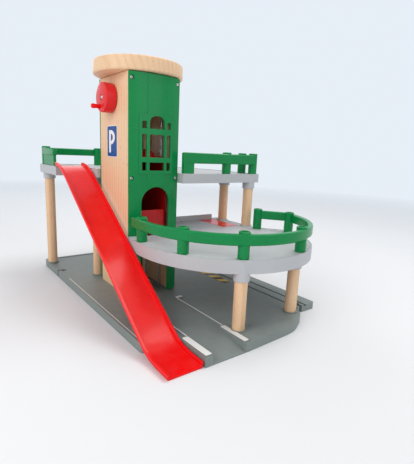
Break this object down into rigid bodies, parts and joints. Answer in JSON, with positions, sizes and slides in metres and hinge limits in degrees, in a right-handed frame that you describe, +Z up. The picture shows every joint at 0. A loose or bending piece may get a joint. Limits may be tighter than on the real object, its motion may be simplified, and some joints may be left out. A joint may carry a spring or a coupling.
{
  "type": "toy_parking_garage",
  "caption": "A wooden and plastic toy parking garage: hand-cranked lift tower, two decks, car ramp, drop hatch over a toy railway bed, guard rails and round pillars",
  "frame": {"origin": "on the ground below the middle of the lift tower, at the middle of the round foot under the lift pit", "axes": "+Z up, +Y towards the tower's back, +X towards the railway side and away from the crank and the ramp"},
  "size_m": [0.357, 0.531, 0.4007],
  "materials": {
    "beech": "satin",
    "green_plastic": "gloss",
    "red_plastic": "gloss",
    "pale_grey_plastic": "satin",
    "road_grey_plastic": "satin",
    "cab_plastic": "satin",
    "white_plastic": "satin",
    "steel": "satin",
    "cord": "matte"
  },
  "bodies": {
    "garage": {"axle_bush": "white_plastic", "base_plate": "road_grey_plastic", "front_shell": "green_plastic", "guide_rod_front": "steel", "guide_rod_rear": "steel", "hatch_pin": "steel", "hatch_spring": "steel", "idler_pin": "steel", "lid_screw": "steel", "lift_cord": "cord", "lower_pillar_front": "beech", "lower_pillar_rear_a": "beech", "lower_pillar_rear_b": "beech", "lower_pillar_right": "beech", "mid_deck": "pale_grey_plastic", "mid_rail": "green_plastic", "ramp": "red_plastic", "rear_shell": "green_plastic", "roof_lid": "beech", "shell_screw_front_1": "steel", "shell_screw_front_2": "steel", "shell_screw_front_3": "steel", "shell_screw_front_4": "steel", "shell_screw_front_5": "steel", "shell_screw_front_6": "steel", "shell_screw_rear_1": "steel", "shell_screw_rear_2": "steel", "shell_screw_rear_3": "steel", "shell_screw_rear_4": "steel", "shell_screw_rear_5": "steel", "shell_screw_rear_6": "steel", "tall_pillar_inner": "beech", "tall_pillar_outer": "beech", "top_plate": "white_plastic", "tower_side_left": "beech", "tower_side_right": "beech", "upper_deck": "pale_grey_plastic", "upper_pillar_a": "beech", "upper_pillar_b": "beech", "upper_rail_left": "green_plastic", "upper_rail_right": "green_plastic"},
    "cab": {"lift_cab": "cab_plastic", "cab_roof": "cab_plastic", "gate_pin": "steel", "cord_clamp": "white_plastic"},
    "gate": {"cab_gate": "red_plastic"},
    "crank": {"crank_wheel": "red_plastic", "crank_knob": "red_plastic", "crank_axle": "steel", "crank_screw": "steel", "drive_pulley": "white_plastic"},
    "idler": {"idler_pulley": "white_plastic"},
    "hatch": {"drop_hatch": "red_plastic"}
  },
  "joints": [
    {"name": "lift_slide", "type": "slide", "parent": "garage", "child": "cab", "axis": [0, 0, -1], "range_m": [-0.1035, 0.1055]},
    {"name": "gate_turn", "type": "hinge", "parent": "cab", "child": "gate", "pos_m": [0, -0.0529, 0.1222], "axis": [-1, 0, 0], "range_deg": [0, 90]},
    {"name": "crank_turn", "type": "hinge", "parent": "garage", "child": "crank", "pos_m": [-0.046, 0.0058, 0.3416], "axis": [1, 0, 0], "range_deg": [-360, 366]},
    {"name": "idler_turn", "type": "hinge", "parent": "garage", "child": "idler", "pos_m": [-0.0319, 0.0058, 0.036], "axis": [1, 0, 0], "range_deg": [-360, 366]},
    {"name": "hatch_turn", "type": "hinge", "parent": "garage", "child": "hatch", "pos_m": [0.176, 0.022, 0.1112], "axis": [1, 0, 0], "range_deg": [0, 34], "stiffness_Nm_per_rad": 0.04, "springref_deg": -34.38}
  ],
  "couplings": [
    {"joint": "crank_turn", "follows": "lift_slide", "rad_per_m": 60.132},
    {"joint": "idler_turn", "follows": "lift_slide", "rad_per_m": 60.132}
  ]
}
